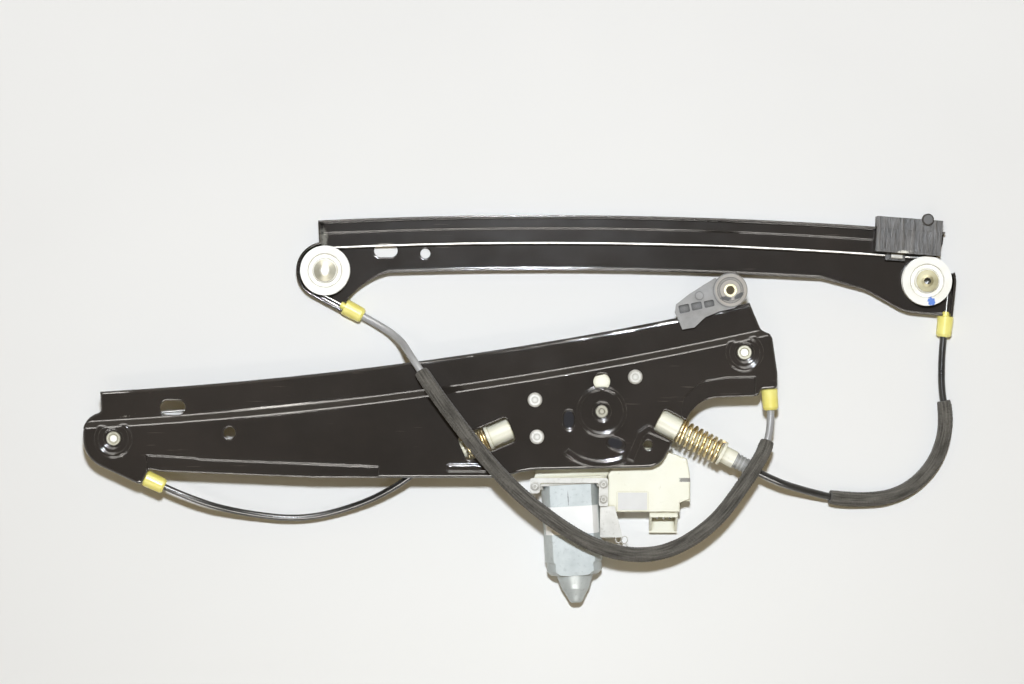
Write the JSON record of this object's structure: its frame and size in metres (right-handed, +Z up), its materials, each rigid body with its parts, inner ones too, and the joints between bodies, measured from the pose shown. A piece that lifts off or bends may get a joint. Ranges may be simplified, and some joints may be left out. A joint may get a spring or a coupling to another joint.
{
  "type": "window regulator",
  "caption": "Twin-rail cable window regulator with electric drive, curved pressed rails, guide pulleys, sprung cable tensioners and sliding glass carriers.",
  "frame": {"origin": "centre of the footprint of the rails, drive and carriers, on the floor plane that the plain rail and the motor can lie on", "axes": "+X along the rails towards the carriers' rest end, +Y across towards the plain rail, +Z up from the floor"},
  "size_m": [0.6054, 0.2705, 0.0552],
  "materials": {
    "black_paint": "glossy black dip paint",
    "white_plastic": "satin acetal",
    "zinc_steel": "zinc plated, satin",
    "olive_brass": "yellow passivated, satin",
    "yellow_plastic": "moulded, semi-gloss",
    "cable_steel": "stranded, greased",
    "ivory_plastic": "moulded, fine grain",
    "can_steel": "plated drawn steel",
    "ferrite": "matt",
    "copper": "turned",
    "tin_plate": "tin plated",
    "grey_rubber": "ribbed, matt",
    "spring_steel": "yellow passivated",
    "black_plastic": "moulded",
    "grey_plastic": "glass filled, matt",
    "brass_insert": "turned",
    "grey_vinyl": "smooth",
    "black_vinyl": "smooth, glossy",
    "foam": "open foam, matt"
  },
  "bodies": {
    "frame": {"bracket_screws": "zinc_steel", "conduit_a": "grey_vinyl", "conduit_b": "black_vinyl", "conduit_c": "black_vinyl", "connector_pins": "tin_plate", "drum_housing": "ivory_plastic", "drum_screws": "zinc_steel", "drum_spindle": "zinc_steel", "electronics_housing": "ivory_plastic", "foam_sleeve_a": "foam", "foam_sleeve_b": "foam", "gear_housing": "ivory_plastic", "left_pull_cable": "cable_steel", "left_spring": "spring_steel", "motor_bracket": "zinc_steel", "motor_cable": "cable_steel", "motor_can": "can_steel", "motor_flange": "zinc_steel", "motor_left_cap": "yellow_plastic", "motor_left_rivet": "zinc_steel", "motor_magnets": "ferrite", "motor_rail": "black_paint", "motor_right_cap": "yellow_plastic", "motor_right_rivet": "zinc_steel", "motor_screws": "zinc_steel", "plain_cable": "cable_steel", "plain_left_cap": "yellow_plastic", "plain_left_rivet": "zinc_steel", "plain_rail": "black_paint", "plain_right_cap": "yellow_plastic", "plain_right_rivet": "olive_brass", "right_pull_cable": "cable_steel", "right_spring": "spring_steel", "shield_plate": "zinc_steel"},
    "plain_left_pulley": {"plain_left_pulley": "white_plastic"},
    "plain_right_pulley": {"plain_right_pulley": "white_plastic"},
    "motor_left_pulley": {"motor_left_pulley": "white_plastic"},
    "motor_right_pulley": {"motor_right_pulley": "white_plastic"},
    "drum": {"cable_drum": "white_plastic", "worm_wheel": "white_plastic"},
    "worm": {"worm_shaft": "zinc_steel", "armature": "ferrite", "commutator": "copper"},
    "carrier_plain": {"plain_carrier": "black_plastic", "plain_knob": "black_plastic", "plain_nipple": "zinc_steel"},
    "carrier_motor": {"motor_carrier": "grey_plastic", "glass_insert": "brass_insert", "motor_nipple": "zinc_steel"},
    "right_plunger": {"right_plunger": "ivory_plastic", "right_ferrule": "grey_rubber"},
    "left_plunger": {"left_plunger": "ivory_plastic", "left_ferrule": "grey_rubber"}
  },
  "joints": [
    {"name": "motor_carrier_travel", "type": "hinge", "parent": "frame", "child": "carrier_motor", "pos_m": [-0.44844, 2.84114, 0], "axis": [0, 0, 1], "range_deg": [-7.04, 0], "deforming": ["conduit_a", "foam_sleeve_a"]},
    {"name": "plain_carrier_travel", "type": "hinge", "parent": "frame", "child": "carrier_plain", "pos_m": [0.01762, -3.18384, 0], "axis": [0, 0, 1], "range_deg": [0, 6.08]},
    {"name": "plain_left_spin", "type": "hinge", "parent": "frame", "child": "plain_left_pulley", "pos_m": [-0.1353, 0.0968, 0.0065], "axis": [0, 0, 1], "range_deg": [-0.5, 1269.7]},
    {"name": "plain_right_spin", "type": "hinge", "parent": "frame", "child": "plain_right_pulley", "pos_m": [0.2845, 0.0895, 0.0065], "axis": [0, 0, 1], "range_deg": [-0.5, 1269.7]},
    {"name": "motor_left_spin", "type": "hinge", "parent": "frame", "child": "motor_left_pulley", "pos_m": [-0.2799, -0.0197, 0.028], "axis": [0, 0, 1], "range_deg": [-0.5, 1269.7]},
    {"name": "motor_right_spin", "type": "hinge", "parent": "frame", "child": "motor_right_pulley", "pos_m": [0.1555, 0.0397, 0.028], "axis": [0, 0, 1], "range_deg": [-0.5, 1269.7]},
    {"name": "drum_spin", "type": "hinge", "parent": "frame", "child": "drum", "pos_m": [0.057, -0.001, 0.028], "axis": [0, 0, 1], "range_deg": [-1485.9, 0.5]},
    {"name": "worm_spin", "type": "hinge", "parent": "frame", "child": "worm", "pos_m": [0.03249, -0.00237, 0.014], "axis": [0.0558, -0.9984, 0], "range_deg": [-89157, 30]},
    {"name": "right_plunger_slide", "type": "slide", "parent": "frame", "child": "right_plunger", "axis": [0.8829, -0.4695, 0], "range_m": [-0.004, 0], "deforming": ["right_spring"]},
    {"name": "left_plunger_slide", "type": "slide", "parent": "frame", "child": "left_plunger", "axis": [-0.9205, -0.3907, 0], "range_m": [-0.004, 0], "deforming": ["left_spring"]}
  ],
  "couplings": [
    {"joint": "plain_carrier_travel", "follows": "motor_carrier_travel", "ratio": -0.86364},
    {"joint": "plain_left_spin", "follows": "motor_carrier_travel", "ratio": -180.38},
    {"joint": "plain_right_spin", "follows": "motor_carrier_travel", "ratio": -180.38},
    {"joint": "motor_left_spin", "follows": "motor_carrier_travel", "ratio": -180.38},
    {"joint": "motor_right_spin", "follows": "motor_carrier_travel", "ratio": -180.38},
    {"joint": "drum_spin", "follows": "motor_carrier_travel", "ratio": 211.11},
    {"joint": "worm_spin", "follows": "motor_carrier_travel", "ratio": 12667}
  ]
}
